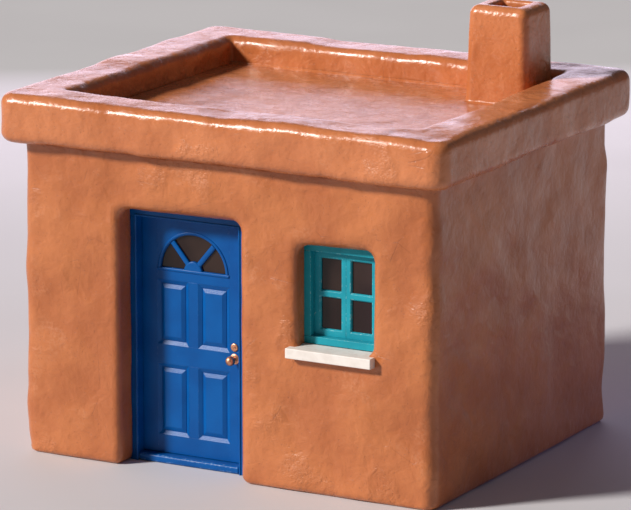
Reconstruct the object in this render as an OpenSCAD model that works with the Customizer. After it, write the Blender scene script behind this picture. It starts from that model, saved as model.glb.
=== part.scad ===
// Small one-room adobe house: a flat roof behind a thick rounded parapet, a square chimney,
// a panelled door with a half-round fanlight, and a casement window over a stone sill.
// Millimetres.  The front faces -Y, the ground is Z = 0, and the origin is under the middle
// of the parapet's outline.

/* [Walls] */
// Width of the house across the front, outside the walls
house_w = 3795; // [3100:5:5000]
// Depth of the house from front to back, outside the walls
house_d = 3189; // [2500:1:4500]
// Height of the walls up to the underside of the parapet
wall_h = 2611; // [2400:1:3400]
// Thickness of the walls
wall_t = 360; // [300:5:450]
// Radius of the upright outside corners
wall_corner_r = 116; // [40:1:200]

/* [Parapet] */
// How far the parapet stands out past the walls
parapet_out = 153; // [80:1:220]
// Width of the parapet along the front and the back
parapet_w_front = 453; // [400:1:560]
// Width of the parapet along the two sides
parapet_w_side = 475; // [400:1:560]
// Height of the parapet
parapet_h = 407; // [300:1:600]
// Radius that rounds the parapet's long edges
parapet_edge_r = 90; // [20:1:130]
// Radius of the parapet's outside corners in plan
parapet_corner_r = 160; // [135:1:280]

/* [Roof and floor] */
// Thickness of the roof between the parapets
roof_t = 180; // [120:5:260]
// Thickness of the floor inside the walls
floor_t = 50; // [30:5:60]

/* [Chimney] */
// Width of the chimney at its foot
chimney_w = 590; // [450:5:800]
// Depth of the chimney at its foot
chimney_d = 545; // [450:5:800]
// Height of the chimney above the roof
chimney_h = 809; // [500:1:1200]
// How much each face leans in from foot to top
chimney_lean = 25; // [0:1:40]
// Radius of the chimney's upright corners
chimney_corner_r = 75; // [20:1:110]
// Side of the square flue
flue_w = 255; // [150:5:300]
// Gap between the chimney's foot and the right parapet
chimney_gap_side = 50; // [10:1:200]
// Gap between the chimney's foot and the back parapet
chimney_gap_back = 5; // [5:1:200]

/* [Door frame] */
// Middle of the door, measured from the middle of the house
door_x = -461.5; // [-700:0.5:-350]
// Clear width between the jambs
door_clear_w = 945; // [700:1:1100]
// Clear height from the threshold to the head
door_clear_h = 1980; // [1600:1:2150]
// Height of the threshold
threshold_h = 65; // [62:1:90]
// Width of each jamb
jamb_w = 117; // [60:1:140]
// Height of the head
head_h = 100; // [60:1:140]
// Depth of the frame from its outer face to its inner face
door_frame_depth = 140; // [130:1:200]
// How far the left wall's plaster laps over its jamb
plaster_lap_side = 58; // [0:1:70]
// How far the plaster above the door laps over the head
plaster_lap_head = 10; // [0:1:50]
// Thickness of the door leaf
leaf_t = 45; // [38:1:60]
// How far the rebate is cut into the jambs and the head
rebate_w = 12; // [8:1:20]
// Clearance all round the leaf
leaf_gap = 5; // [4:0.5:7]

/* [Door leaf] */
// Width of the hinge stile and the lock stile
stile_w = 143; // [110:1:160]
// Width of the upright between the panels
mullion_w = 88; // [70:1:120]
// Height of the bottom rail
bottom_rail_h = 150; // [100:1:220]
// Height of the lock rail's underside above the ground
lock_rail_z = 819; // [700:1:880]
// Height of the lock rail
lock_rail_h = 162; // [150:1:200]
// Height of the rail under the fanlight
top_rail_h = 93; // [70:1:120]
// Thickness of the panel boards
panel_t = 10; // [8:1:20]
// How far the raised middle of a panel stands up from its board
panel_raise = 10; // [4:1:12]
// Width of the flat border round the raised middle
panel_border = 58; // [20:1:75]
// Width left between the fanlight's opening and each stile
fan_side_margin = 34; // [30:0.5:80]
// Height left between the fanlight's opening and the top of the leaf
fan_top_margin = 135; // [60:1:170]
// Width of the moulding round the fanlight
fan_rim_w = 37; // [20:1:38]
// How far that moulding stands proud of the leaf
fan_rim_proud = 6; // [3:1:8]
// Radius of the half-round boss at the foot of the spokes
fan_hub_r = 85; // [50:1:110]
// Width of each spoke
fan_spoke_w = 34; // [16:1:44]
// Angle of each spoke above the horizontal, in degrees
fan_spoke_angle = 50; // [35:1:65]
// Thickness of the glass
glass_t = 5; // [3:1:6]

/* [Door fittings] */
// Distance from the leaf's free edge to the middle of the knob
knob_backset = 96; // [60:1:120]
// Height of the knob above the ground
knob_z = 935; // [860:1:960]
// Radius of the round knob
knob_r = 40; // [22:1:44]
// Distance from the leaf's face to the middle of the knob
knob_reach = 72; // [55:1:85]
// Radius of the spindle that joins the two knobs
spindle_r = 7; // [5:0.5:9]
// Running clearance round the spindle
spindle_clearance = 0.5; // [0.3:0.1:1.5]
// Radius of the plate behind each knob
knob_plate_r = 43; // [36:1:46]
// Height of the lock's middle above the knob
lock_above_knob = 97; // [85:1:120]
// Radius of the lock's collar
lock_collar_r = 34; // [20:1:36]
// Height of each hinge
hinge_h = 110; // [80:1:140]
// Radius of the hinge barrels
hinge_barrel_r = 7; // [6:0.5:7.5]
// Radius of the hinge pins
hinge_pin_r = 3; // [2:0.5:4]
// Thickness of the hinge plates, let into the wood
hinge_plate_t = 2.5; // [2:0.5:3.5]
// Running clearance round each hinge pin
hinge_pin_clearance = 0.1; // [0.05:0.05:0.3]

/* [Window] */
// Middle of the window, measured from the middle of the house
window_x = 1003; // [850:1:1080]
// Width of the window opening
window_w = 702; // [560:1:800]
// Height of the window opening above the sill
window_h = 820; // [600:1:950]
// Height of the sill's top
sill_z = 1201; // [800:1:1300]
// Distance from the wall's outer face to the window frame
window_recess = 145; // [60:1:180]
// How far the right wall's plaster laps over the frame
window_lap_right = 30; // [0:1:45]
// Width of the frame's four members
window_member_w = 62; // [45:1:75]
// Depth of the frame
window_frame_depth = 110; // [104:1:140]
// Distance from the frame's outer face to the casements
casement_recess = 58; // [20:1:60]
// Thickness of the casements
casement_t = 40; // [34:1:44]
// Width of a casement's outer stile
casement_stile_w = 62; // [40:1:75]
// Width of a casement's meeting stile
meeting_stile_w = 47; // [28:1:50]
// Height of a casement's bottom rail
casement_bottom_rail_h = 60; // [30:1:75]
// Height of a casement's top rail
casement_top_rail_h = 62; // [30:1:75]
// Height of the glazing bar across each casement
glazing_bar_h = 58; // [20:1:70]
// Height of the glazing bar's underside above the sill
glazing_bar_up = 379; // [300:1:450]

/* [Sill] */
// Thickness of the sill
sill_t = 84; // [50:1:110]
// How far the sill stands out from the wall
sill_out = 83; // [40:1:120]
// How far the sill runs past the opening at each end
sill_past = 48; // [10:1:60]

/* [Hidden] */
$fn = 96;

// Length added to a cutting solid so that it passes right through
over = 1;

// Outside and inside faces of the walls
wall_x = house_w / 2;
wall_y = house_d / 2;
room_x = wall_x - wall_t;
room_y = wall_y - wall_t;

// Outside and inside faces of the parapet
parapet_x = wall_x + parapet_out;
parapet_y = wall_y + parapet_out;
well_x = parapet_x - parapet_w_side;
well_y = parapet_y - parapet_w_front;
roof_top = wall_h + roof_t;
mitre_reach = max(parapet_w_front, parapet_w_side) + over;

// Chimney, in the well's back right corner
chimney_x = well_x - chimney_gap_side - chimney_w / 2;
chimney_y = well_y - chimney_gap_back - chimney_d / 2;

// Door frame, flush with the inside of the wall
door_frame_y = -room_y - door_frame_depth;
door_left = door_x - door_clear_w / 2;
door_right = door_x + door_clear_w / 2;
head_z = threshold_h + door_clear_h;
frame_left = door_left - jamb_w;
frame_right = door_right + jamb_w;
frame_top = head_z + head_h;

// Leaf, flush with the inside of the frame and closing against a stop
leaf_y = -room_y - leaf_t;
rebate_y = leaf_y - leaf_gap;
leaf_left = door_left - rebate_w + leaf_gap;
leaf_right = door_right + rebate_w - leaf_gap;
leaf_bottom = threshold_h + leaf_gap;
leaf_top = head_z + rebate_w - leaf_gap;
between_stiles = leaf_right - leaf_left - 2 * stile_w;
panel_w = (between_stiles - mullion_w) / 2;

// Fanlight
fan_r = between_stiles / 2 - fan_side_margin;
fan_z = leaf_top - fan_top_margin - fan_r;
fan_glass_depth = 18;
bead_w = 10;

// Panels and the rails round them
lower_panel_z = leaf_bottom + bottom_rail_h;
upper_panel_z = lock_rail_z + lock_rail_h;
top_rail_z = fan_z - top_rail_h;

// Door furniture
knob_x = leaf_right - knob_backset;
knob_plate_t = 8;
knob_neck_r = 14;
lock_z = knob_z + lock_above_knob;
lock_collar_t = 10;
lock_plug_r = 12;
lock_plug_t = 3;

// Hinges: the axis lies in the middle of the gap, just inside the leaf's inner face
hinge_x = leaf_left - leaf_gap / 2;
hinge_y = -room_y + hinge_barrel_r + 1;
hinge_plate_d = 34;
frame_plate_x = hinge_x - leaf_gap / 2 - hinge_plate_t;
knuckle_gap = 0.5;
hinge_inset = 200;
hinge_levels = [
    leaf_bottom + hinge_inset,
    (leaf_bottom + leaf_top) / 2,
    leaf_top - hinge_inset
];

// Window frame and casements
window_y = -wall_y + window_recess;
window_left = window_x - window_w / 2;
window_right = window_x + window_w / 2;
opening_right = window_right - window_lap_right;
window_top = sill_z + window_h;
casement_y = window_y + casement_recess;
casement_w = window_w / 2 - window_member_w;
casement_z = sill_z + window_member_w;
casement_h = window_h - 2 * window_member_w;
bar_z = sill_z + glazing_bar_up;
pane_depth = 22;

// Box given by its lowest and its highest corner
module block(low, high) {
    translate(low)
        cube(high - low);
}

// Part of the walls' outline between two X and two Y values, with rounded outside corners
module wall_piece(x0, x1, y0, y1, z0, z1) {
    translate([0, 0, z0])
        linear_extrude(z1 - z0)
            intersection() {
                translate([x0, y0])
                    square([x1 - x0, y1 - y0]);
                house_outline();
            }
}

// The walls' outline in plan
module house_outline() {
    straight_x = wall_x - wall_corner_r;
    straight_y = wall_y - wall_corner_r;
    translate([-straight_x, -wall_y])
        square([2 * straight_x, house_d]);
    translate([-wall_x, -straight_y])
        square([house_w, 2 * straight_y]);
    for (sx = [-1, 1], sy = [-1, 1])
        translate([sx * straight_x, sy * straight_y])
            circle(wall_corner_r);
}

// Room behind the plaster for the door frame
module door_pocket() {
    block([frame_left, door_frame_y, -over], [frame_right, -room_y + over, frame_top]);
}

// Room behind the plaster for the window frame, open to the inside
module window_pocket() {
    block([window_left, window_y, sill_z], [window_right, -room_y + over, window_top]);
}

module front_wall_left() {
    color("peru")
        difference() {
            wall_piece(-wall_x, frame_left + plaster_lap_side, -wall_y, -room_y, 0, wall_h);
            door_pocket();
        }
}

module front_wall_middle() {
    color("peru")
        wall_piece(frame_right, window_left, -wall_y, -room_y, 0, wall_h);
}

module front_wall_right() {
    color("peru")
        difference() {
            wall_piece(opening_right, wall_x, -wall_y, -room_y, 0, wall_h);
            window_pocket();
        }
}

module front_wall_over_door() {
    color("peru")
        difference() {
            wall_piece(frame_left + plaster_lap_side, frame_right, -wall_y, -room_y,
                       frame_top - plaster_lap_head, wall_h);
            door_pocket();
        }
}

module front_wall_over_window() {
    color("peru")
        wall_piece(window_left, opening_right, -wall_y, -room_y, window_top, wall_h);
}

module front_wall_under_window() {
    color("peru")
        difference() {
            wall_piece(window_left, opening_right, -wall_y, -room_y, 0, sill_z);
            sill_block();
        }
}

module left_wall() {
    color("peru")
        wall_piece(-wall_x, -room_x, -room_y, room_y, 0, wall_h);
}

module right_wall() {
    color("peru")
        wall_piece(room_x, wall_x, -room_y, room_y, 0, wall_h);
}

module back_wall() {
    color("peru")
        wall_piece(-wall_x, wall_x, room_y, wall_y, 0, wall_h);
}

module floor_slab() {
    color("tan")
        block([-room_x, -room_y, 0], [room_x, room_y, floor_t]);
}

module flue(z0, z1) {
    translate([chimney_x - flue_w / 2, chimney_y - flue_w / 2, z0])
        cube([flue_w, flue_w, z1 - z0]);
}

module roof_slab() {
    color("sandybrown")
        difference() {
            block([-well_x, -well_y, wall_h], [well_x, well_y, roof_top]);
            flue(wall_h - over, roof_top + over);
        }
}

// Section of the parapet: its outer face at X = 0, its width towards -X
module parapet_section(width, inner_rounded) {
    r = parapet_edge_r;
    difference() {
        translate([-width, 0])
            square([width, parapet_h]);
        for (side = [0, 1])
            translate([-r, side == 0 ? r : parapet_h - r])
                corner_waste(side == 0 ? -90 : 0);
        if (inner_rounded)
            translate([-width + r, parapet_h - r])
                corner_waste(90);
    }
}

// Corner that a quarter circle leaves outside itself, turned by an angle
module corner_waste(angle) {
    rotate(angle)
        difference() {
            square(parapet_edge_r + over);
            circle(parapet_edge_r);
        }
}

// Straight length of the parapet along Y, with its outer face towards +X
module parapet_length(width, y0, y1) {
    translate([0, y1, wall_h])
        rotate([90, 0, 0])
            linear_extrude(y1 - y0)
                parapet_section(width, true);
}

// Quarter turn of the parapet's outside corner, towards +X +Y
module parapet_turn() {
    translate([0, 0, wall_h])
        rotate_extrude(angle = 90)
            translate([parapet_corner_r, 0])
                parapet_section(parapet_corner_r, false);
}

// The whole parapet: four straight lengths and four turned corners
module parapet_ring() {
    turn_x = parapet_x - parapet_corner_r;
    turn_y = parapet_y - parapet_corner_r;
    for (side = [0, 1]) {
        mirror([side, 0, 0])
            translate([parapet_x, 0, 0])
                parapet_length(parapet_w_side, -turn_y, turn_y);
        mirror([0, side, 0])
            rotate(90)
                translate([parapet_y, 0, 0])
                    parapet_length(parapet_w_front, -turn_x, turn_x);
    }
    for (side = [0, 1], end = [0, 1])
        mirror([side, 0, 0])
            mirror([0, end, 0])
                translate([turn_x, turn_y, 0])
                    parapet_turn();
}

// One side's share of the parapet, between mitres that run at 45 degrees out of the well's corners
module parapet_share(corners) {
    intersection() {
        parapet_ring();
        translate([0, 0, wall_h - over])
            linear_extrude(parapet_h + 2 * over)
                polygon(corners);
    }
}

module parapet_back_share() {
    parapet_share([
        [-well_x + over, well_y - over],
        [well_x - over, well_y - over],
        [well_x + mitre_reach, well_y + mitre_reach],
        [-well_x - mitre_reach, well_y + mitre_reach]
    ]);
}

module parapet_right_share() {
    parapet_share([
        [well_x - over, -well_y + over],
        [well_x + mitre_reach, -well_y - mitre_reach],
        [well_x + mitre_reach, well_y + mitre_reach],
        [well_x - over, well_y - over]
    ]);
}

module parapet_front() {
    color("sandybrown")
        mirror([0, 1, 0])
            parapet_back_share();
}

module parapet_back() {
    color("sandybrown")
        parapet_back_share();
}

module parapet_left() {
    color("sandybrown")
        mirror([1, 0, 0])
            parapet_right_share();
}

module parapet_right() {
    color("sandybrown")
        parapet_right_share();
}

// Thin slice of the chimney at one level, drawn in by an amount on every side
module chimney_slice(level, inset) {
    w = chimney_w - 2 * inset;
    d = chimney_d - 2 * inset;
    r = chimney_corner_r;
    for (sx = [-1, 1], sy = [-1, 1])
        translate([sx * (w / 2 - r), sy * (d / 2 - r), level])
            cylinder(r = r, h = 1, $fn = 32);
}

module chimney() {
    color("chocolate")
        difference() {
            translate([chimney_x, chimney_y, roof_top])
                hull() {
                    chimney_slice(0, 0);
                    chimney_slice(chimney_h - 1, chimney_lean);
                }
            flue(roof_top - over, roof_top + chimney_h + over);
        }
}

// Space that the leaf closes into: the clear opening widened behind the stop
module door_opening() {
    block([door_left, door_frame_y - over, threshold_h],
          [door_right, -room_y + over, head_z]);
    block([door_left - rebate_w, rebate_y, threshold_h],
          [door_right + rebate_w, -room_y + over, head_z + rebate_w]);
}

module door_jamb_left() {
    color("royalblue")
        difference() {
            block([frame_left, door_frame_y, 0],
                  [door_left, -room_y, head_z]);
            door_opening();
            for (level = hinge_levels)
                hinge_plate(frame_plate_x, level, over);
        }
}

module door_jamb_right() {
    color("royalblue")
        difference() {
            block([door_right, door_frame_y, 0],
                  [frame_right, -room_y, head_z]);
            door_opening();
        }
}

module door_head() {
    color("royalblue")
        difference() {
            block([frame_left, door_frame_y, head_z],
                  [frame_right, -room_y, frame_top]);
            door_opening();
        }
}

module door_threshold() {
    color("royalblue")
        block([door_left, door_frame_y, 0],
              [door_right, -room_y, threshold_h]);
}

// Hinge plate from one X towards +X, let into the wood; the pocket for it reaches farther out
module hinge_plate(plate_x, level, past_face) {
    block([plate_x, -room_y - hinge_plate_d, level - hinge_h / 2],
          [plate_x + hinge_plate_t, -room_y + past_face, level + hinge_h / 2]);
}

// One knuckle: its barrel with the bore, and the tab that joins it to a plate
module knuckle(plate_x, z0, z1) {
    difference() {
        union() {
            block([plate_x, -room_y - hinge_barrel_r, z0],
                  [plate_x + hinge_plate_t, hinge_y, z1]);
            translate([hinge_x, hinge_y, z0])
                cylinder(r = hinge_barrel_r, h = z1 - z0);
        }
        translate([hinge_x, hinge_y, z0 - over])
            cylinder(r = hinge_pin_r + hinge_pin_clearance, h = z1 - z0 + 2 * over);
    }
}

module hinge_frame_plates() {
    third = hinge_h / 3;
    color("darkgoldenrod")
        for (level = hinge_levels) {
            hinge_plate(frame_plate_x, level, 0);
            for (z0 = [level - hinge_h / 2, level + hinge_h / 2 - third])
                knuckle(frame_plate_x, z0, z0 + third);
        }
}

module hinge_door_plates() {
    half = hinge_h / 6 - knuckle_gap;
    color("darkgoldenrod")
        for (level = hinge_levels) {
            hinge_plate(leaf_left, level, 0);
            knuckle(leaf_left, level - half, level + half);
        }
}

module hinge_pins() {
    color("goldenrod")
        for (level = hinge_levels)
            translate([hinge_x, hinge_y, level - hinge_h / 2])
                cylinder(r = hinge_pin_r, h = hinge_h);
}

module door_hinge_stile() {
    color("dodgerblue")
        difference() {
            block([leaf_left, leaf_y, leaf_bottom],
                  [leaf_left + stile_w, -room_y, leaf_top]);
            for (level = hinge_levels)
                hinge_plate(leaf_left, level, over);
        }
}

// Hole for the spindle, right through the leaf and its plates
module spindle_hole() {
    translate([knob_x, -room_y + knob_plate_t + over, knob_z])
        rotate([90, 0, 0])
            cylinder(r = spindle_r + spindle_clearance,
                     h = leaf_t + 2 * (knob_plate_t + over));
}

module door_lock_stile() {
    color("dodgerblue")
        difference() {
            block([leaf_right - stile_w, leaf_y, leaf_bottom],
                  [leaf_right, -room_y, leaf_top]);
            spindle_hole();
        }
}

// Rail between the two stiles
module rail(z0, z1) {
    color("dodgerblue")
        block([leaf_left + stile_w, leaf_y, z0],
              [leaf_right - stile_w, -room_y, z1]);
}

module door_bottom_rail() {
    rail(leaf_bottom, lower_panel_z);
}

module door_lock_rail() {
    rail(lock_rail_z, upper_panel_z);
}

module door_top_rail() {
    rail(top_rail_z, fan_z);
}

module door_mullions() {
    color("dodgerblue")
        for (span = [[lower_panel_z, lock_rail_z], [upper_panel_z, top_rail_z]])
            block([leaf_left + stile_w + panel_w, leaf_y, span[0]],
                  [leaf_left + stile_w + panel_w + mullion_w, -room_y, span[1]]);
}

// Board with a raised middle on both faces
module panel(x0, z0, z1) {
    b = panel_border;
    y0 = leaf_y + (leaf_t - panel_t) / 2;
    y1 = y0 + panel_t;
    block([x0, y0, z0], [x0 + panel_w, y1, z1]);
    block([x0 + b, y0 - panel_raise, z0 + b],
          [x0 + panel_w - b, y1 + panel_raise, z1 - b]);
}

module panel_pair(z0, z1) {
    color("dodgerblue")
        for (x0 = [leaf_left + stile_w, leaf_left + stile_w + panel_w + mullion_w])
            panel(x0, z0, z1);
}

module door_lower_panels() {
    panel_pair(lower_panel_z, lock_rail_z);
}

module door_upper_panels() {
    panel_pair(upper_panel_z, top_rail_z);
}

// Upper half of a disc that stands on the fanlight's base line, between two depths
module half_disc(r, y0, y1) {
    translate([door_x, y1, fan_z])
        rotate([90, 0, 0])
            linear_extrude(y1 - y0)
                intersection() {
                    circle(r);
                    translate([-r, 0])
                        square([2 * r, r]);
                }
}

module fanlight_surround() {
    color("dodgerblue")
        difference() {
            block([leaf_left + stile_w, leaf_y, fan_z],
                  [leaf_right - stile_w, -room_y, leaf_top]);
            half_disc(fan_r, leaf_y - over, -room_y + over);
        }
}

// Half ring round the opening: a moulding on the leaf's face and a bead against the glass
module fan_ring(face_y, proud_y, glass_y) {
    outer_y0 = min(face_y, proud_y);
    outer_y1 = max(face_y, proud_y);
    bead_y0 = min(proud_y, glass_y);
    bead_y1 = max(proud_y, glass_y);
    difference() {
        union() {
            half_disc(fan_r + fan_rim_w - bead_w, outer_y0, outer_y1);
            half_disc(fan_r, bead_y0, bead_y1);
        }
        half_disc(fan_r - bead_w, bead_y0 - over, bead_y1 + over);
    }
    bar = fan_r - bead_w / 2;
    block([door_x - bar, bead_y0, fan_z],
          [door_x + bar, bead_y1, fan_z + bead_w]);
}

// Spoke from the boss to the ring
module spoke(angle, y0, y1) {
    translate([door_x, 0, fan_z])
        rotate([0, -angle, 0])
            block([fan_hub_r / 2, y0, -fan_spoke_w / 2],
                  [fan_r - bead_w / 2, y1, fan_spoke_w / 2]);
}

// Ring, boss and spokes on one side of the glass
module fan_tracery(face_y, proud_y, glass_y) {
    y0 = min(proud_y, glass_y);
    y1 = max(proud_y, glass_y);
    fan_ring(face_y, proud_y, glass_y);
    half_disc(fan_hub_r, y0, y1);
    for (angle = [fan_spoke_angle, 180 - fan_spoke_angle])
        spoke(angle, y0, y1);
}

module fanlight_moulding() {
    color("dodgerblue") {
        fan_tracery(leaf_y, leaf_y - fan_rim_proud, leaf_y + fan_glass_depth);
        fan_tracery(-room_y, -room_y + fan_rim_proud,
                    leaf_y + fan_glass_depth + glass_t);
    }
}

module fanlight_glass() {
    color("saddlebrown")
        half_disc(fan_r, leaf_y + fan_glass_depth, leaf_y + fan_glass_depth + glass_t);
}

// Solid of revolution about the knob's axis, drawn as [radius, distance from the leaf's face]
module turned_outside(height) {
    translate([knob_x, leaf_y, height])
        rotate([90, 0, 0])
            rotate_extrude()
                children();
}

module turned_inside(height) {
    translate([knob_x, -room_y, height])
        rotate([-90, 0, 0])
            rotate_extrude()
                children();
}

// Plate with a hole for the spindle
module plate_section() {
    hole = spindle_r + spindle_clearance;
    translate([hole, 0])
        square([knob_plate_r - hole, knob_plate_t]);
}

module knob_plates() {
    color("sienna") {
        turned_outside(knob_z)
            plate_section();
        turned_inside(knob_z)
            plate_section();
    }
}

// Neck and round head of a knob, with its share of the spindle
module knob_section() {
    neck_start = knob_plate_t + 1;
    translate([0, -leaf_t / 2])
        square([spindle_r, leaf_t / 2 + knob_reach]);
    translate([0, neck_start])
        square([knob_neck_r, knob_reach - neck_start]);
    intersection() {
        translate([0, knob_reach])
            circle(knob_r);
        translate([0, knob_reach - knob_r])
            square([knob_r, 2 * knob_r]);
    }
}

module knob_outside() {
    color("peru")
        turned_outside(knob_z)
            knob_section();
}

module knob_inside() {
    color("peru")
        turned_inside(knob_z)
            knob_section();
}

// Collar with the key plug standing a little proud
module lock_section() {
    square([lock_collar_r, lock_collar_t]);
    square([lock_plug_r, lock_collar_t + lock_plug_t]);
}

module door_lock() {
    color("sienna") {
        turned_outside(lock_z)
            lock_section();
        turned_inside(lock_z)
            lock_section();
    }
}

module window_jambs() {
    color("darkturquoise")
        for (x0 = [window_left, window_right - window_member_w])
            block([x0, window_y, casement_z],
                  [x0 + window_member_w, window_y + window_frame_depth,
                   casement_z + casement_h]);
}

module window_head_and_foot() {
    color("darkturquoise")
        for (z0 = [sill_z, window_top - window_member_w])
            block([window_left, window_y, z0],
                  [window_right, window_y + window_frame_depth, z0 + window_member_w]);
}

// Casement from its outer stile at X = 0 to its meeting stile, towards +X
module casement() {
    y0 = casement_y;
    y1 = casement_y + casement_t;
    z0 = casement_z;
    z1 = casement_z + casement_h;
    pane_x0 = casement_stile_w;
    pane_x1 = casement_w - meeting_stile_w;
    color("darkturquoise")
        difference() {
            block([0, y0, z0], [casement_w, y1, z1]);
            block([pane_x0, y0 - over, z0 + casement_bottom_rail_h],
                  [pane_x1, y1 + over, bar_z]);
            block([pane_x0, y0 - over, bar_z + glazing_bar_h],
                  [pane_x1, y1 + over, z1 - casement_top_rail_h]);
        }
}

// Both panes of the casement
module casement_glass() {
    z0 = casement_z + casement_bottom_rail_h;
    z1 = casement_z + casement_h - casement_top_rail_h;
    for (span = [[z0, bar_z], [bar_z + glazing_bar_h, z1]])
        block([casement_stile_w, casement_y + pane_depth, span[0]],
              [casement_w - meeting_stile_w, casement_y + pane_depth + glass_t, span[1]]);
}

// Puts what is drawn for a casement on the left half, the right half, or both
module left_half() {
    translate([window_left + window_member_w, 0, 0])
        children();
}

module right_half() {
    translate([window_right - window_member_w, 0, 0])
        mirror([1, 0, 0])
            children();
}

module casement_left() {
    left_half()
        casement();
}

module casement_right() {
    right_half()
        casement();
}

module window_glass() {
    color("saddlebrown") {
        left_half()
            casement_glass();
        right_half()
            casement_glass();
    }
}

// The sill runs from the window frame out past the wall, and past the opening at each end
module sill_block() {
    block([window_left, -wall_y - sill_out, sill_z - sill_t],
          [opening_right, window_y, sill_z]);
    block([window_left - sill_past, -wall_y - sill_out, sill_z - sill_t],
          [opening_right + sill_past, -wall_y, sill_z]);
}

module window_sill() {
    color("linen")
        sill_block();
}

front_wall_left();
front_wall_middle();
front_wall_right();
front_wall_over_door();
front_wall_over_window();
front_wall_under_window();
left_wall();
right_wall();
back_wall();
floor_slab();
roof_slab();
parapet_front();
parapet_back();
parapet_left();
parapet_right();
chimney();
door_jamb_left();
door_jamb_right();
door_head();
door_threshold();
hinge_frame_plates();
hinge_pins();
door_hinge_stile();
door_lock_stile();
door_bottom_rail();
door_lock_rail();
door_top_rail();
door_mullions();
door_lower_panels();
door_upper_panels();
fanlight_surround();
fanlight_moulding();
fanlight_glass();
hinge_door_plates();
knob_plates();
door_lock();
knob_outside();
knob_inside();
window_jambs();
window_head_and_foot();
casement_left();
casement_right();
window_glass();
window_sill();
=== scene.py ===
"""Looks of a small adobe house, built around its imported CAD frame.

The rounded adobe pieces come from fields: a field is a function of a point that is below zero
inside the adobe and above zero outside it, about as large as the distance to the surface.
"""

import math
from itertools import product

import bmesh
import bpy
import numpy as np
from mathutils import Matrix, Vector


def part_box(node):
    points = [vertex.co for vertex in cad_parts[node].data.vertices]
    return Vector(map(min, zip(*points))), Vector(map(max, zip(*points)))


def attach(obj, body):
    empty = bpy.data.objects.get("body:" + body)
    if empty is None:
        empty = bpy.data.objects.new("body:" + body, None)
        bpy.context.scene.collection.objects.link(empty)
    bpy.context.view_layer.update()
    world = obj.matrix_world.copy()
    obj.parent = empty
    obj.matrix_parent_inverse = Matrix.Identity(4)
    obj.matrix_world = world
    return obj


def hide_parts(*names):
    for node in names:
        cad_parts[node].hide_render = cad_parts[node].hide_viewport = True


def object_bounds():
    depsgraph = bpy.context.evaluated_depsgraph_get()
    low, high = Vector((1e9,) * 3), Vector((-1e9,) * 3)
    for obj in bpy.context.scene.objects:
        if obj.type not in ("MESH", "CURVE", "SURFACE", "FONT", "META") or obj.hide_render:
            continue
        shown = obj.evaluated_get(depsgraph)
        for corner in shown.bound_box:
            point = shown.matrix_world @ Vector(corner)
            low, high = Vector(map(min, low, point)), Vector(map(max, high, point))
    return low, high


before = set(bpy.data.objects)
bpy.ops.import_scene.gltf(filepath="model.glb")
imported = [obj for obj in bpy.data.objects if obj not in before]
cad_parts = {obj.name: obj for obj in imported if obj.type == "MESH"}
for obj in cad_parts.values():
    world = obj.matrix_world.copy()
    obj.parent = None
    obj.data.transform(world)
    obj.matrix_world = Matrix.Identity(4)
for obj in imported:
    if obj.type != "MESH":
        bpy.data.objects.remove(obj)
cad_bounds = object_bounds()


# ---------------------------------------------------------------- sizes, from the CAD's boxes

def low(node):
    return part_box(node)[0]


def high(node):
    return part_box(node)[1]


WALL_X = high("back_wall").x
WALL_Y = high("back_wall").y
WALL_TOP = high("back_wall").z
ROOM_X = low("right_wall").x
ROOM_Y = low("back_wall").y

PARAPET_X = high("parapet_right").x
PARAPET_Y = high("parapet_back").y
PARAPET_TOP = high("parapet_right").z
WELL_X = high("roof_slab").x
WELL_Y = high("roof_slab").y
DECK_Z = high("roof_slab").z

CHIMNEY_LOW, CHIMNEY_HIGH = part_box("chimney")
CHIMNEY_MIDDLE = (CHIMNEY_LOW + CHIMNEY_HIGH) / 2

FRAME_Y = low("door_head").y
FRAME_LEFT = low("door_jamb_left").x
FRAME_RIGHT = high("door_jamb_right").x
FRAME_TOP = high("door_head").z
REVEAL_LEFT = high("front_wall_left").x
REVEAL_TOP = low("front_wall_over_door").z
CLEAR_LEFT = low("door_threshold").x
CLEAR_RIGHT = high("door_threshold").x
CLEAR_TOP = low("door_head").z

LEAF_OUTSIDE = low("door_lock_stile").y
LEAF_INSIDE = high("door_lock_stile").y
FAN_LOW, FAN_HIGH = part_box("fanlight_glass")
FAN_X = (FAN_LOW.x + FAN_HIGH.x) / 2
FAN_Z = FAN_LOW.z
FAN_R = (FAN_HIGH.x - FAN_LOW.x) / 2

WINDOW_LEFT, WINDOW_Y, WINDOW_BOTTOM = low("window_head_and_foot")
WINDOW_RIGHT = high("window_head_and_foot").x
WINDOW_TOP = high("window_head_and_foot").z
SILL_LOW, SILL_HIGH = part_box("window_sill")
OPENING_LEFT = high("front_wall_middle").x
OPENING_RIGHT = low("front_wall_right").x

# Sizes that no box gives
CHIMNEY_LEAN = 0.025
CHIMNEY_CORNER = 0.078
FLUE_HALF = 0.1275
WELL_CORNER = 0.008
TIGHT_CORNER = 0.004
WALL_LAP = 0.02  # how far the walls run up inside the parapet


# ---------------------------------------------------------------- fields

def rounded_rectangle(x, y, half_x, half_y, radius):
    """Field of a rectangle round the origin with rounded corners."""
    past_x = np.abs(x) - half_x + radius
    past_y = np.abs(y) - half_y + radius
    outside = np.hypot(np.maximum(past_x, 0), np.maximum(past_y, 0))
    return outside + np.minimum(np.maximum(past_x, past_y), 0) - radius


def meet(a, b, radius):
    """Field of what is inside both a and b, with a rounded edge between them."""
    past_a = a + radius
    past_b = b + radius
    outside = np.hypot(np.maximum(past_a, 0), np.maximum(past_b, 0))
    return outside + np.minimum(np.maximum(past_a, past_b), 0) - radius


def fade(value, start, end):
    """Smooth change from 0 at start to 1 at end."""
    t = np.clip((value - start) / (end - start), 0, 1)
    return t * t * (3 - 2 * t)


def cove(distance, radius):
    """Height of a concave quarter circle at a distance from the wall that it leans on."""
    reach = np.clip(radius - distance, 0, radius)
    return radius - np.sqrt(radius * radius - reach * reach)


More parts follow.
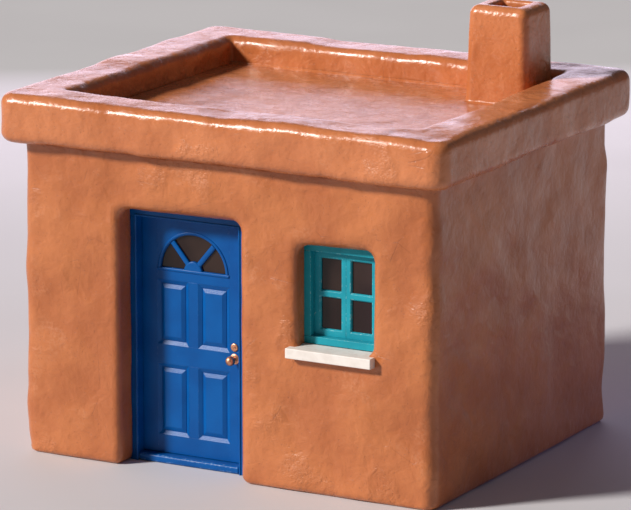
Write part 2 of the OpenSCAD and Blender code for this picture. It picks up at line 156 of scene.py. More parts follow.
def opening(x, y, z, left, right, bottom, top, frame_y):
    """Field of a hole through the front wall: sharp corners at the frame, round ones in front."""
    corner = 0.012 + 0.085 * fade(y, frame_y - 0.02, -WALL_Y + 0.07)
    middle_x = (left + right) / 2
    middle_z = (bottom + top) / 2
    return rounded_rectangle(x - middle_x, z - middle_z,
                             (right - left) / 2, (top - bottom) / 2, corner)


def edge_radius(x, z, left, right, top):
    """Rounding of an opening's front edge: tight on the left, wide on the right and on top."""
    return 0.050 + 0.048 * fade(x, left, right) + 0.040 * fade(z, top - 0.12, top + 0.02)


def walls_field(x, y, z):
    """Four walls round the room, with the doorway and the window cut through the front one."""
    corner_radius = 0.116
    foot_radius = 0.054
    sill_edge_radius = 0.012
    walls = meet(rounded_rectangle(x, y, WALL_X, WALL_Y, corner_radius), -z, foot_radius)
    # Below zero in the front half of the house only, so that no hole reaches the back wall
    in_front = y + 1.0

    door = opening(x, y, z, REVEAL_LEFT + 0.008, FRAME_RIGHT, -1.0, REVEAL_TOP, FRAME_Y)
    door_edge = edge_radius(x, z, REVEAL_LEFT, FRAME_RIGHT, REVEAL_TOP)
    walls = meet(walls, -np.maximum(door, in_front), door_edge)

    window_floor = (SILL_LOW.z + SILL_HIGH.z) / 2
    window = opening(x, y, z, OPENING_LEFT, OPENING_RIGHT, window_floor, WINDOW_TOP, WINDOW_Y)
    window_edge = edge_radius(x, z, OPENING_LEFT, OPENING_RIGHT, WINDOW_TOP)
    above_sill = fade(z, SILL_HIGH.z - 0.03, SILL_HIGH.z + 0.06)
    window_edge = sill_edge_radius + (window_edge - sill_edge_radius) * above_sill
    walls = meet(walls, -np.maximum(window, y - WINDOW_Y - 0.012), window_edge)

    window_frame = rounded_rectangle(x - (WINDOW_LEFT + WINDOW_RIGHT) / 2,
                                     z - (WINDOW_BOTTOM + WINDOW_TOP) / 2,
                                     (WINDOW_RIGHT - WINDOW_LEFT) / 2,
                                     (WINDOW_TOP - WINDOW_BOTTOM) / 2, TIGHT_CORNER)
    door_frame = rounded_rectangle(x - (FRAME_LEFT + FRAME_RIGHT) / 2, z,
                                   (FRAME_RIGHT - FRAME_LEFT) / 2 - 0.003,
                                   FRAME_TOP - 0.003, TIGHT_CORNER)
    hollows = (
        np.maximum(np.maximum(window_frame, WINDOW_Y - y), in_front),
        np.maximum(np.maximum(door_frame, FRAME_Y + 0.010 - y), in_front),
        rounded_rectangle(x, y, ROOM_X, ROOM_Y, 0.03),
    )
    for hollow in hollows:
        walls = np.maximum(walls, -hollow)
    return np.maximum(walls, z - WALL_TOP - WALL_LAP)


def parapet_field(x, y, z):
    """Rounded ring round the roof well, which is a little wider at the front than at the back."""
    corner_radius = 0.16
    top_radius = 0.096
    bottom_radius = 0.088
    ring = rounded_rectangle(x, y, PARAPET_X, PARAPET_Y, corner_radius)
    ring = meet(ring, z - PARAPET_TOP, top_radius)
    ring = meet(ring, WALL_TOP - z, bottom_radius)
    taper = 0.02 * fade(y, WELL_Y, -WELL_Y)
    well = rounded_rectangle(x, y, WELL_X + taper - 0.012, WELL_Y, WELL_CORNER)
    well_edge = 0.005 + 0.085 * fade(z, WALL_TOP + 0.1, DECK_Z + 0.08)
    return meet(ring, -well, well_edge)


def chimney_shape(x, y, z, grown):
    """Field of the stack's plan, which leans in on its way up and is grown by a given amount."""
    rise = (z - CHIMNEY_LOW.z) / (CHIMNEY_HIGH.z - CHIMNEY_LOW.z)
    lean = CHIMNEY_LEAN * np.clip(rise, 0, 1) - grown
    size = CHIMNEY_HIGH - CHIMNEY_LOW
    return rounded_rectangle(x - CHIMNEY_MIDDLE.x, y - CHIMNEY_MIDDLE.y,
                             size.x / 2 - lean, size.y / 2 - lean, CHIMNEY_CORNER)


def flue_field(x, y):
    return rounded_rectangle(x - CHIMNEY_MIDDLE.x, y - CHIMNEY_MIDDLE.y,
                             FLUE_HALF, FLUE_HALF, 0.02)


def chimney_field(x, y, z):
    """Square stack with a coved foot, a rounded top and a flue; it starts just inside the deck."""
    foot_cove = 0.03
    flue_edge_radius = 0.028
    stack = chimney_shape(x, y, z, cove(z - CHIMNEY_LOW.z, foot_cove))
    stack = meet(stack, z - CHIMNEY_HIGH.z, CHIMNEY_CORNER)
    stack = meet(stack, -flue_field(x, y), flue_edge_radius)
    return np.maximum(stack, CHIMNEY_LOW.z - 0.01 - z)


def deck_field(x, y, z):
    """Roof deck, coved up to the parapet and to the chimney."""
    cove_radius = 0.032
    to_parapet = -rounded_rectangle(x, y, WELL_X, WELL_Y, WELL_CORNER)
    to_chimney = chimney_shape(x, y, np.full_like(z, DECK_Z), 0)
    height = DECK_Z + cove(np.minimum(to_parapet, np.abs(to_chimney)), cove_radius)
    slab = np.maximum(z - height, WALL_TOP - z)
    slab = np.maximum(slab, -to_parapet - 0.006)
    return np.maximum(slab, -flue_field(x, y))


def surface(field, lowest, highest, step):
    """Vertices and quads of a field's zero surface: one vertex in each cell that it crosses.

    Each quad joins the four cells round a grid edge that crosses the surface, and its corners
    are reversed where needed to make it face out.
    """
    axes = [np.arange(a - step * 1.37, b + step * 1.6, step) for a, b in zip(lowest, highest)]
    values = field(*np.meshgrid(*axes, indexing="ij"))
    inside = values < 0
    cells = tuple(n - 1 for n in inside.shape)
    total = np.zeros(cells + (3,))
    count = np.zeros(cells, int)
    edges = []
    for axis in range(3):
        first = [slice(None)] * 3
        second = [slice(None)] * 3
        first[axis] = slice(None, -1)
        second[axis] = slice(1, None)
        first, second = tuple(first), tuple(second)
        crossed = np.argwhere(inside[first] != inside[second])
        ahead = crossed.copy()
        ahead[:, axis] += 1
        start = values[tuple(crossed.T)]
        end = values[tuple(ahead.T)]
        crossing = np.stack([axes[k][crossed[:, k]] for k in range(3)], 1)
        crossing[:, axis] += step * start / (start - end)
        others = [k for k in range(3) if k != axis]
        around = []
        for back in ((0, 0), (1, 0), (1, 1), (0, 1)):
            cell = crossed.copy()
            cell[:, others[0]] -= back[0]
            cell[:, others[1]] -= back[1]
            np.add.at(total, tuple(cell.T), crossing)
            np.add.at(count, tuple(cell.T), 1)
            around.append(cell)
        leaving = inside[tuple(crossed.T)]
        edges.append((around, leaving if axis != 1 else ~leaving))
    number = np.full(cells, -1)
    used = np.argwhere(count > 0)
    number[tuple(used.T)] = np.arange(len(used))
    points = total[tuple(used.T)] / count[tuple(used.T)][:, None]
    quads = []
    for around, in_order in edges:
        corners = np.stack([number[tuple(cell.T)] for cell in around], 1)
        quads.append(np.where(in_order[:, None], corners, corners[:, ::-1]))
    return points, np.concatenate(quads)


def slope(field, points, reach=0.003):
    """Direction in which a field grows fastest, at each point."""
    parts = []
    for axis in range(3):
        step = np.zeros(3)
        step[axis] = reach
        parts.append(field(*(points + step).T) - field(*(points - step).T))
    return np.stack(parts, 1) / (2 * reach)


def settle(field, points, step):
    """The points moved onto the field's zero surface, and the surface's normals there."""
    for _ in range(4):
        direction = slope(field, points)
        length = np.maximum((direction ** 2).sum(1), 0.2)
        move = direction * (field(*points.T) / length)[:, None]
        points = points - np.clip(move, -0.4 * step, 0.4 * step)
    direction = slope(field, points)
    return points, direction / np.maximum(np.linalg.norm(direction, axis=1), 1e-6)[:, None]


def noise(points, wavelength, seed):
    """Smooth noise between 0 and 1 with bumps about as wide as the wavelength."""
    size = 24
    lattice = np.random.default_rng(seed).random((size, size, size))
    scaled = points / wavelength + 200
    cell = np.floor(scaled).astype(int)
    t = scaled - cell
    t = t * t * (3 - 2 * t)
    total = np.zeros(len(points))
    for corner in product((0, 1), repeat=3):
        weight = np.ones(len(points))
        for axis in range(3):
            weight = weight * (t[:, axis] if corner[axis] else 1 - t[:, axis])
        index = (cell + np.array(corner)) % size
        total += weight * lattice[tuple(index.T)]
    return total


def hand_worked(points, seed):
    """Uneven plaster, from 0 where it is fullest to 1 where it is thinnest."""
    total = (0.38 * noise(points, 0.60, seed)
             + 0.46 * noise(points, 0.31, seed + 1)
             + 0.16 * noise(points, 0.14, seed + 2))
    return np.clip(0.5 + 1.9 * (total - 0.5), 0, 1)


def mesh_from(name, points, faces):
    mesh = bpy.data.meshes.new(name)
    mesh.from_pydata([tuple(p) for p in points], [], [tuple(int(i) for i in f) for f in faces])
    mesh.validate()
    mesh.update()
    return mesh


def place(name, mesh, material, body, slot, *nodes):
    """A new piece in the scene, riding on a body and standing for the CAD nodes that are named."""
    piece = bpy.data.objects.new(name, mesh)
    bpy.context.scene.collection.objects.link(piece)
    mesh.materials.clear()
    mesh.materials.append(material)
    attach(piece, body)
    if nodes:
        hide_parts(*nodes)
    return piece


def steady(points):
    """1 on open wall, down to 0.3 at the edge of the door's and the window's opening."""
    x, y, z = points.T
    door = opening(x, y, z, REVEAL_LEFT, FRAME_RIGHT, -1.0, REVEAL_TOP, FRAME_Y)
    window = opening(x, y, z, OPENING_LEFT, OPENING_RIGHT, SILL_LOW.z, WINDOW_TOP, WINDOW_Y)
    distance = np.minimum(door, window)
    return np.where(y < -ROOM_Y, 0.3 + 0.7 * fade(distance, 0.02, 0.2), 1.0)


def adobe(name, field, lowest, highest, *nodes, step, depth, fullness, seed, material, slot):
    """Adobe piece that stands for the nodes: the field's surface, as uneven as a hand leaves it.

    Step is the size of the field's grid, depth the height of the unevenness, and fullness the
    share of it that stands outside the field's surface.
    """
    points, quads = surface(field, lowest, highest, step)
    points, normals = settle(field, points, step)
    upright = fade(points[:, 2], 0.0, 0.05)
    inwards = depth * (hand_worked(points, seed) - fullness) * upright * steady(points)
    points = points - normals * inwards[:, None]
    points = np.clip(points, cad_bounds[0], cad_bounds[1])
    mesh = mesh_from(name, points, quads)
    mesh.shade_smooth()
    return place(name, mesh, material, "house", slot, *nodes)


# ---------------------------------------------------------------- materials

class Nodes:
    """A material's node tree, built by calls that each add a node and join its inputs."""

    def __init__(self, name):
        self.material = bpy.data.materials.new(name)
        self.material.use_nodes = True
        self.tree = self.material.node_tree
        self.shader = self.tree.nodes["Principled BSDF"]
        self.coordinates = self.add("ShaderNodeTexCoord").outputs["Object"]

    def add(self, kind, settings=None, **inputs):
        node = self.tree.nodes.new(kind)
        for key, value in (settings or {}).items():
            setattr(node, key, value)
        for key, value in inputs.items():
            self.put(node.inputs[key.replace("_", " ")], value)
        return node

    def put(self, socket, value):
        if isinstance(value, bpy.types.NodeSocket):
            self.tree.links.new(value, socket)
        else:
            socket.default_value = value

    def stretched(self, x, y, z):
        node = self.add("ShaderNodeMapping", Vector=self.coordinates, Scale=(x, y, z))
        return node.outputs["Vector"]

    def noise(self, scale, detail=3.0, roughness=0.5, vector=None, distortion=0.0):
        node = self.add("ShaderNodeTexNoise", Vector=vector or self.coordinates, Scale=scale,
                        Detail=detail, Roughness=roughness, Distortion=distortion)
        return node.outputs["Fac"]

    def ramp(self, value, start, end, lowest=0.0, highest=1.0):
        node = self.add("ShaderNodeMapRange", {"interpolation_type": "SMOOTHSTEP"})
        for key, given in zip(("Value", "From Min", "From Max", "To Min", "To Max"),
                              (value, start, end, lowest, highest)):
            self.put(node.inputs[key], given)
        return node.outputs["Result"]

    def math(self, operation, a, b=0.0):
        node = self.add("ShaderNodeMath", {"operation": operation})
        self.put(node.inputs[0], a)
        self.put(node.inputs[1], b)
        return node.outputs[0]

    def blend(self, factor, a, b):
        node = self.add("ShaderNodeMix", {"data_type": "RGBA"})
        self.put(node.inputs["Factor"], factor)
        for key, value in (("A", a), ("B", b)):
            socket = next(s for s in node.inputs if s.name == key and s.type == "RGBA")
            self.put(socket, value)
        return next(s for s in node.outputs if s.type == "RGBA")

    def bump(self, height, distance, strength=1.0, normal=None):
        node = self.add("ShaderNodeBump", Height=height, Distance=distance, Strength=strength)
        if normal is not None:
            self.put(node.inputs["Normal"], normal)
        return node.outputs["Normal"]

    def set(self, **inputs):
        for key, value in inputs.items():
            self.put(self.shader.inputs[key.replace("_", " ")], value)
        return self.material


def colour(red, green, blue):
    """Linear colour from the 0 to 255 values that a screen shows."""
    def linear(level):
        level /= 255
        return level / 12.92 if level <= 0.04045 else ((level + 0.055) / 1.055) ** 2.4
    return linear(red), linear(green), linear(blue), 1.0


def adobe_material(name, light, dark, gloss):
    """Sealed mud plaster: mottled and streaked, with pits, hairline cracks, rubbed patches and
    small areas where the trowel left it rough.
    """
    n = Nodes(name)
    broad = n.noise(1.7, 4.0, 0.55)
    middle = n.noise(7.5, 5.0, 0.6, distortion=0.4)
    fine = n.noise(46.0, 4.0, 0.6)
    grain = n.noise(230.0, 2.0, 0.5)
    streaks = n.noise(5.0, 3.0, 0.5, n.stretched(2.2, 2.2, 0.28))
    tone = n.blend(n.ramp(broad, 0.35, 0.66), dark, light)
    tone = n.blend(n.ramp(middle, 0.42, 0.75, 0.0, 0.3), tone, dark)
    tone = n.blend(n.ramp(streaks, 0.5, 0.8, 0.0, 0.12), tone, light)
    patches = n.math("MULTIPLY", n.ramp(n.noise(2.6, 2.0), 0.58, 0.68), n.ramp(fine, 0.45, 0.6))
    worn = n.blend(0.5, light, colour(214, 158, 122))
    tone = n.blend(n.math("MULTIPLY", patches, 0.22), tone, worn)
    pits = n.ramp(n.noise(70.0, 1.0, 0.4), 0.24, 0.31, 1.0, 0.0)
    tone = n.blend(n.math("MULTIPLY", pits, 0.35), tone, colour(120, 62, 38))
    cracks = n.add("ShaderNodeTexVoronoi", {"feature": "DISTANCE_TO_EDGE"},
                   Vector=n.coordinates, Scale=1.9).outputs["Distance"]
    crack_line = n.math("MULTIPLY", n.ramp(cracks, 0.0, 0.006, 1.0, 0.0),
                        n.ramp(n.noise(3.1, 3.0), 0.55, 0.62))
    tone = n.blend(n.math("MULTIPLY", crack_line, 0.3), tone, colour(110, 56, 34))
    shine = n.ramp(middle, 0.3, 0.75, gloss - 0.05, gloss + 0.1)
    shine = n.math("ADD", shine, n.math("MULTIPLY", patches, 0.22))
    normal = n.bump(broad, 0.050)
    normal = n.bump(middle, 0.013, 1.0, normal)
    normal = n.bump(fine, 0.0007, 1.0, normal)
    rough = n.ramp(n.noise(1.55, 2.0), 0.60, 0.68)
    normal = n.bump(n.math("MULTIPLY", rough, n.noise(28.0, 5.0, 0.65)), 0.012, 1.0, normal)
    normal = n.bump(grain, 0.0003, 0.7, normal)
    normal = n.bump(n.math("ADD", pits, crack_line), -0.0012, 0.8, normal)
    return n.set(Base_Color=tone, Roughness=shine, Normal=normal, Specular_IOR_Level=0.5,
                 Coat_Weight=0.3, Coat_Roughness=0.22)


def paint_material(name, base, deep, worn, shine, along):
    """Oil paint brushed along a board that runs along x or z, rubbed thin on its edges."""
    n = Nodes(name)
    stretch = {"x": (1.2, 26.0, 26.0), "z": (26.0, 26.0, 1.2)}[along]
    strokes = n.noise(7.0, 4.0, 0.6, n.stretched(*stretch))
    cloud = n.noise(4.5, 3.0)
    tone = n.blend(n.ramp(cloud, 0.35, 0.68, 0.0, 0.55), base, deep)
    tone = n.blend(n.ramp(strokes, 0.5, 0.78, 0.0, 0.22), tone, deep)
    edge = n.add("ShaderNodeAttribute", {"attribute_name": "edge"}).outputs["Fac"]
    speckle = n.ramp(n.noise(38.0, 4.0, 0.65), 0.53, 0.62)
    rubbed = n.math("MULTIPLY", edge, speckle)
    nicks = n.ramp(n.noise(19.0, 5.0, 0.7), 0.715, 0.735)
    tone = n.blend(n.math("MULTIPLY", rubbed, 0.5), tone, worn)
    tone = n.blend(n.math("MULTIPLY", nicks, 0.5), tone, worn)
    roughness = n.ramp(strokes, 0.3, 0.8, shine, shine + 0.12)
    normal = n.bump(strokes, 0.0007)
    normal = n.bump(n.noise(90.0, 2.0), 0.0002, 0.6, normal)
    normal = n.bump(nicks, -0.0004, 0.6, normal)
    return n.set(Base_Color=tone, Roughness=roughness, Normal=normal,
                 Specular_IOR_Level=0.2, Coat_Weight=0.04, Coat_Roughness=0.15)


def metal_material(name, bright, tarnish, shine):
    """Handled metal: bright, with clouds of tarnish and uneven polish."""
    n = Nodes(name)
    cloud = n.noise(70.0, 4.0, 0.6)
    tone = n.blend(n.ramp(cloud, 0.4, 0.7, 0.0, 0.8), bright, tarnish)
    roughness = n.ramp(n.noise(160.0, 3.0), 0.3, 0.8, shine, shine + 0.2)
    normal = n.bump(n.noise(420.0, 2.0), 0.0001)
    return n.set(Base_Color=tone, Roughness=roughness, Normal=normal, Metallic=1.0)


def glass_material(name):
    """Window glass painted dark with the shade of a dark room behind it, and with a painted
    reflection that makes it a little paler towards the window's right side.
    """
    n = Nodes(name)
    across = n.add("ShaderNodeSeparateXYZ", Vector=n.coordinates).outputs["X"]
    cloud = n.noise(2.3, 2.0)
    # Painted shade: a dark brown base colour standing for the unlit room behind the glass
    tone = n.blend(n.ramp(cloud, 0.35, 0.65), colour(33, 20, 18), colour(52, 37, 32))
    # Painted reflection: a paler lilac tone towards the window's right side
    tone = n.blend(n.ramp(across, 0.95, 1.4, 0.0, 0.3), tone, colour(66, 44, 52))
    smears = n.noise(12.0, 4.0)
    return n.set(Base_Color=tone, Roughness=n.ramp(smears, 0.35, 0.7, 0.05, 0.14),
                 Normal=n.bump(n.noise(5.0, 1.0), 0.0006), Specular_IOR_Level=0.3)


def stone_material(name):
    """Painted stone sill: chalky, with rain streaks and pits."""
    n = Nodes(name)
    cloud = n.noise(9.0, 5.0, 0.6)
    tone = n.blend(n.ramp(cloud, 0.35, 0.7), colour(243, 236, 230), colour(232, 224, 217))
    streaks = n.ramp(n.noise(16.0, 3.0, 0.5, n.stretched(1.0, 1.0, 0.2)), 0.55, 0.75, 0.0, 0.3)
    tone = n.blend(streaks, tone, colour(190, 168, 158))
    pits = n.ramp(n.noise(120.0, 2.0), 0.25, 0.33, 1.0, 0.0)
    tone = n.blend(n.math("MULTIPLY", pits, 0.12), tone, colour(150, 130, 120))
    normal = n.bump(cloud, 0.0012)
    normal = n.bump(pits, -0.0004, 0.6, normal)
    return n.set(Base_Color=tone, Roughness=n.ramp(cloud, 0.3, 0.7, 0.42, 0.6), Normal=normal)


def earth_material(name):
    """Beaten earth floor."""
    n = Nodes(name)
    cloud = n.noise(2.4, 5.0, 0.6)
    tone = n.blend(n.ramp(cloud, 0.3, 0.7), colour(150, 104, 72), colour(118, 78, 52))
    gravel = n.noise(60.0, 3.0, 0.6)
    normal = n.bump(cloud, 0.006)
    normal = n.bump(gravel, 0.0015, 0.8, normal)
    return n.set(Base_Color=tone, Roughness=n.ramp(gravel, 0.3, 0.7, 0.65, 0.85), Normal=normal)


ADOBE = adobe_material("sealed_adobe", colour(197, 117, 66), colour(179, 100, 53), 0.34)
ROOF_ADOBE = adobe_material("sealed_roof_adobe", colour(210, 128, 80), colour(192, 111, 65), 0.26)
BLUES = (colour(0, 86, 160), colour(0, 70, 140), colour(120, 160, 205))
PANEL_BLUES = (colour(0, 89, 164), colour(0, 73, 144), colour(120, 160, 205))
TEALS = (colour(34, 160, 178), colour(18, 134, 154), colour(180, 225, 226))
DOOR_UPRIGHT = paint_material("door_paint_upright", *BLUES, 0.30, "z")
DOOR_LEVEL = paint_material("door_paint_level", *BLUES, 0.30, "x")
DOOR_PANEL = paint_material("door_paint_panel", *PANEL_BLUES, 0.28, "z")
WINDOW_UPRIGHT = paint_material("window_paint_upright", *TEALS, 0.34, "z")
WINDOW_LEVEL = paint_material("window_paint_level", *TEALS, 0.34, "x")
BRONZE = metal_material("aged_bronze", colour(232, 172, 138), colour(172, 112, 86), 0.34)
BRASS = metal_material("hinge_brass", colour(214, 178, 110), colour(150, 112, 62), 0.25)
GLASS_SHADE_AND_REFLECTION = glass_material("glass_painted_shade_and_reflection")
STONE = stone_material("painted_stone")
EARTH = earth_material("beaten_earth")


# ---------------------------------------------------------------- adobe pieces

adobe("adobe_walls", walls_field, (-WALL_X, -WALL_Y, 0), (WALL_X, WALL_Y, WALL_TOP + WALL_LAP),
      "front_wall_left", "front_wall_middle", "front_wall_right", "front_wall_over_door",
      "front_wall_over_window", "front_wall_under_window", "left_wall", "right_wall",
      "back_wall",
      step=0.029, depth=0.034, fullness=0.5, seed=11, material=ADOBE, slot="adobe")
adobe("adobe_parapet", parapet_field, (-PARAPET_X, -PARAPET_Y, WALL_TOP),
      (PARAPET_X, PARAPET_Y, PARAPET_TOP),
      "parapet_front", "parapet_back", "parapet_left", "parapet_right",
      step=0.024, depth=0.026, fullness=0.25, seed=23, material=ROOF_ADOBE, slot="roof_adobe")
adobe("adobe_deck", deck_field, (-WELL_X, -WELL_Y, WALL_TOP), (WELL_X, WELL_Y, DECK_Z + 0.04),
      "roof_slab",
      step=0.022, depth=0.010, fullness=0.3, seed=31, material=ROOF_ADOBE, slot="roof_adobe")
adobe("adobe_chimney", chimney_field, CHIMNEY_LOW - Vector((0.03, 0.03, 0.01)),
      CHIMNEY_HIGH + Vector((0.03, 0.03, 0)), "chimney",
      step=0.015, depth=0.014, fullness=0.3, seed=47, material=ROOF_ADOBE, slot="roof_adobe")


# ---------------------------------------------------------------- joinery

def pane_edges(shape, node):
    """Edges round the panes on a sash's outer face."""
    margin = 0.005
    shortest = 0.01
    lowest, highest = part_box(node)
    found = []
    for edge in shape.edges:
        on_face = all(abs(v.co.y - lowest.y) < 1e-4 for v in edge.verts)
        inside = all(lowest.x + margin < v.co.x < highest.x - margin for v in edge.verts)
        if on_face and inside and edge.calc_length() > shortest:
            found.append(edge)
    return found


def softened(name, node, width, material, slot, body="house", segments=2, pane_chamfer=0.0):
    """Copy of a CAD node with its sharp edges rounded over; it stands for the node.

    The rounded faces are marked in an attribute, so that paint can be rubbed thin on them.
    """
    shape = bmesh.new()
    shape.from_mesh(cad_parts[node].data)
    bmesh.ops.remove_doubles(shape, verts=shape.verts, dist=1e-5)
    bmesh.ops.dissolve_limit(shape, angle_limit=math.radians(1),
                             verts=shape.verts, edges=shape.edges)
    if pane_chamfer:
        bmesh.ops.bevel(shape, geom=pane_edges(shape, node), offset=pane_chamfer, segments=1,
                        profile=0.5, affect="EDGES", clamp_overlap=True)
    sharp = [e for e in shape.edges if e.is_manifold and e.calc_face_angle() > math.radians(35)]
    made = bmesh.ops.bevel(shape, geom=sharp, offset=width, segments=segments, profile=0.5,
                           affect="EDGES", clamp_overlap=True)
    shape.faces.index_update()
    edge_faces = {f.index for f in made["faces"]}
    points = [v.co.copy() for v in shape.verts]
    faces = [[v.index for v in f.verts] for f in shape.faces]
    shape.free()
    mesh = mesh_from(name, points, faces)
    marks = mesh.attributes.new("edge", "FLOAT", "FACE")
    for face in mesh.polygons:
        marks.data[face.index].value = float(face.index in edge_faces)
    return finish_solid(name, mesh, material, slot, body, node)


def finish_solid(name, mesh, material, slot, body, *nodes, crease=50):
    """A crisp solid: smooth over its rounded edges, flat on its faces."""
    mesh.shade_smooth()
    mesh.set_sharp_from_angle(angle=math.radians(crease))
    piece = place(name, mesh, material, body, slot, *nodes)
    weighted = piece.modifiers.new("faces_stay_flat", "WEIGHTED_NORMAL")
    weighted.keep_sharp = True
    return piece


LEAF_EDGE = 0.0015
DOOR_FRAME_EDGE = 0.004
WINDOW_FRAME_EDGE = 0.005

for node, material in (("door_jamb_left", DOOR_UPRIGHT), ("door_jamb_right", DOOR_UPRIGHT),
                       ("door_head", DOOR_LEVEL)):
    softened(node + "_board", node, DOOR_FRAME_EDGE, material, "door_paint")
softened("door_threshold_board", "door_threshold", 0.020, DOOR_LEVEL, "door_paint", segments=3)
for node, material in (("door_hinge_stile", DOOR_UPRIGHT), ("door_lock_stile", DOOR_UPRIGHT),
                       ("door_bottom_rail", DOOR_LEVEL), ("door_lock_rail", DOOR_LEVEL),
                       ("door_top_rail", DOOR_LEVEL), ("door_mullions", DOOR_UPRIGHT)):
    softened(node + "_board", node, LEAF_EDGE, material, "door_paint", "door")
softened("fanlight_surround_board", "fanlight_surround", LEAF_EDGE, DOOR_UPRIGHT,
         "door_paint", "door")
softened("window_jamb_boards", "window_jambs", WINDOW_FRAME_EDGE, WINDOW_UPRIGHT,
         "window_paint", segments=3)
softened("window_head_and_foot_boards", "window_head_and_foot", WINDOW_FRAME_EDGE,
         WINDOW_LEVEL, "window_paint", segments=3)
for node in ("casement_left", "casement_right"):
    softened(node + "_sash", node, 0.003, WINDOW_UPRIGHT, "window_paint", pane_chamfer=0.010)
softened("window_sill_stone", "window_sill", 0.008, STONE, "sill_stone", segments=3)
softened("hinge_frame_leaves", "hinge_frame_plates", 0.0005, BRASS, "hinge_brass")
softened("hinge_door_leaves", "hinge_door_plates", 0.0005, BRASS, "hinge_brass", "door")


def sweep(rings, closed=False):
    """Faces that join rings of points, each to the next, with caps on the ends of an open run."""
    count = len(rings[0])
    faces = []
    spans = len(rings) if closed else len(rings) - 1
    for i in range(spans):
        here = i * count
        there = ((i + 1) % len(rings)) * count
        for k in range(count):
            after = (k + 1) % count
            faces.append((here + k, here + after, there + after, there + k))
    if not closed:
        faces.append(tuple(reversed(range(count))))
        faces.append(tuple(range((len(rings) - 1) * count, len(rings) * count)))
    return [p for ring in rings for p in ring], faces


def joined(parts):
    """One list of points and one of faces from several."""
    points, faces = [], []
    for some_points, some_faces in parts:
        start = len(points)
        points += some_points
        faces += [tuple(i + start for i in face) for face in some_faces]
    return points, faces


def outward(mesh):
    """Turns the faces of closed shells so that they all look out."""
    shape = bmesh.new()
    shape.from_mesh(mesh)
    bmesh.ops.recalc_face_normals(shape, faces=shape.faces)
    shape.to_mesh(mesh)
    shape.free()


def moulded(name, parts, material, slot, body, *nodes, crease=50):
    """One piece made of several closed shells, standing for the nodes that are named."""
    mesh = mesh_from(name, *joined(parts))
    outward(mesh)
    return finish_solid(name, mesh, material, slot, body, *nodes, crease=crease)


# Raised panel, from its edge inwards: a slope down, a narrow valley and a slope up to the field.
# Each point is the distance in from the rails and the depth below the leaf's face.
PANEL_PROFILE = (
    (0.0, -0.0004), (0.0012, 0.0002), (0.0310, 0.0142), (0.0325, 0.0182), (0.0355, 0.0182),
    (0.0370, 0.0142), (0.0680, 0.0004), (0.0695, 0.0),
)


def raised_panel(left, right, bottom, top):
    """Panel with the same profile on both faces, between the sides that are given."""
    rings = []
    for face_y, turn in ((LEAF_OUTSIDE, 1), (LEAF_INSIDE, -1)):
        for inset, depth in PANEL_PROFILE[::-turn]:
            y = face_y + turn * depth
            rings.append([
                (left + inset, y, bottom + inset), (right - inset, y, bottom + inset),
                (right - inset, y, top - inset), (left + inset, y, top - inset),
            ])
    return sweep(rings)


MULLION_LEFT, MULLION_RIGHT = low("door_mullions").x, high("door_mullions").x
for node in ("door_lower_panels", "door_upper_panels"):
    panel_low, panel_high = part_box(node)
    moulded(node + "_raised",
            [raised_panel(panel_low.x, MULLION_LEFT, panel_low.z, panel_high.z),
             raised_panel(MULLION_RIGHT, panel_high.x, panel_low.z, panel_high.z)],
            DOOR_PANEL, "door_paint", "door", node, crease=12)


# ---------------------------------------------------------------- fanlight

# Ring moulding: distance outwards from the opening's radius, depth below the leaf's face
RIM_PROFILE = (
    (0.0270, 0.0), (0.0265, -0.0030), (0.0235, -0.0065), (0.0185, -0.0080), (0.0125, -0.0080),
    (0.0080, -0.0065), (0.0040, -0.0040), (0.0010, 0.0), (-0.0015, 0.0060), (-0.0025, 0.0180),
    (-0.0005, 0.0180), (-0.0005, 0.0005),
)
# Bar section: distance across from its middle as a share of its half width, depth
BAR_PROFILE = (
    (-1.0, 0.0180), (-1.0, 0.0040), (-0.86, 0.0005), (-0.55, -0.0025), (0.0, -0.0040),
    (0.55, -0.0025), (0.86, 0.0005), (1.0, 0.0040), (1.0, 0.0180),
)
# Moulding along the fanlight's foot: height above its base line, depth
FOOT_PROFILE = (
    (0.0110, 0.0180), (0.0110, -0.0010), (0.0090, -0.0060), (0.0040, -0.0095), (-0.0040, -0.0100),
    (-0.0120, -0.0080), (-0.0160, -0.0040), (-0.0170, 0.0005), (-0.0005, 0.0005),
    (-0.0005, 0.0180),
)
HUB_PROFILE = (
    (0.0, -0.0065), (0.052, -0.0065), (0.062, -0.0058), (0.068, -0.0070), (0.078, -0.0060),
    (0.083, -0.0020), (0.085, 0.0040), (0.085, 0.0180), (0.0, 0.0180),
)
SPOKE_HALF = 0.022
SPOKE_ANGLE = 50
FAN_STEPS = 64
FOOT_PAST = 0.034
FOOT_END = 0.004
GROOVE_DEPTH = 0.018


def on_leaf(side, across, height, depth):
    """Point on one face of the leaf: side 1 is the outside, -1 the inside.

    The glass lies nearer the outside, so points that touch it reach deeper on the inside.
    """
    if side == 1:
        return across, LEAF_OUTSIDE + depth, height
    glass_depth = FAN_LOW.y - LEAF_OUTSIDE
    if depth >= glass_depth - 0.001:
        depth = LEAF_INSIDE - FAN_HIGH.y
    return across, LEAF_INSIDE - depth, height


def fan_arc(side, profile, base_radius, steps=FAN_STEPS):
    """Profile swept over the fanlight's half circle: each point is (distance out, depth)."""
    rings = []
    for i in range(steps + 1):
        angle = math.pi * i / steps
        ring = []
        for out, depth in profile:
            radius = base_radius + out
            ring.append(on_leaf(side, FAN_X + radius * math.cos(angle),
                                FAN_Z + radius * math.sin(angle), depth))
        rings.append(ring)
    return sweep(rings)


def fan_hub(side):
    """Half-round boss, as half of a turned shape."""
    profile = [(0.0005 if r == 0.0 else r, depth) for r, depth in HUB_PROFILE]
    return fan_arc(side, profile, 0.0, 32)


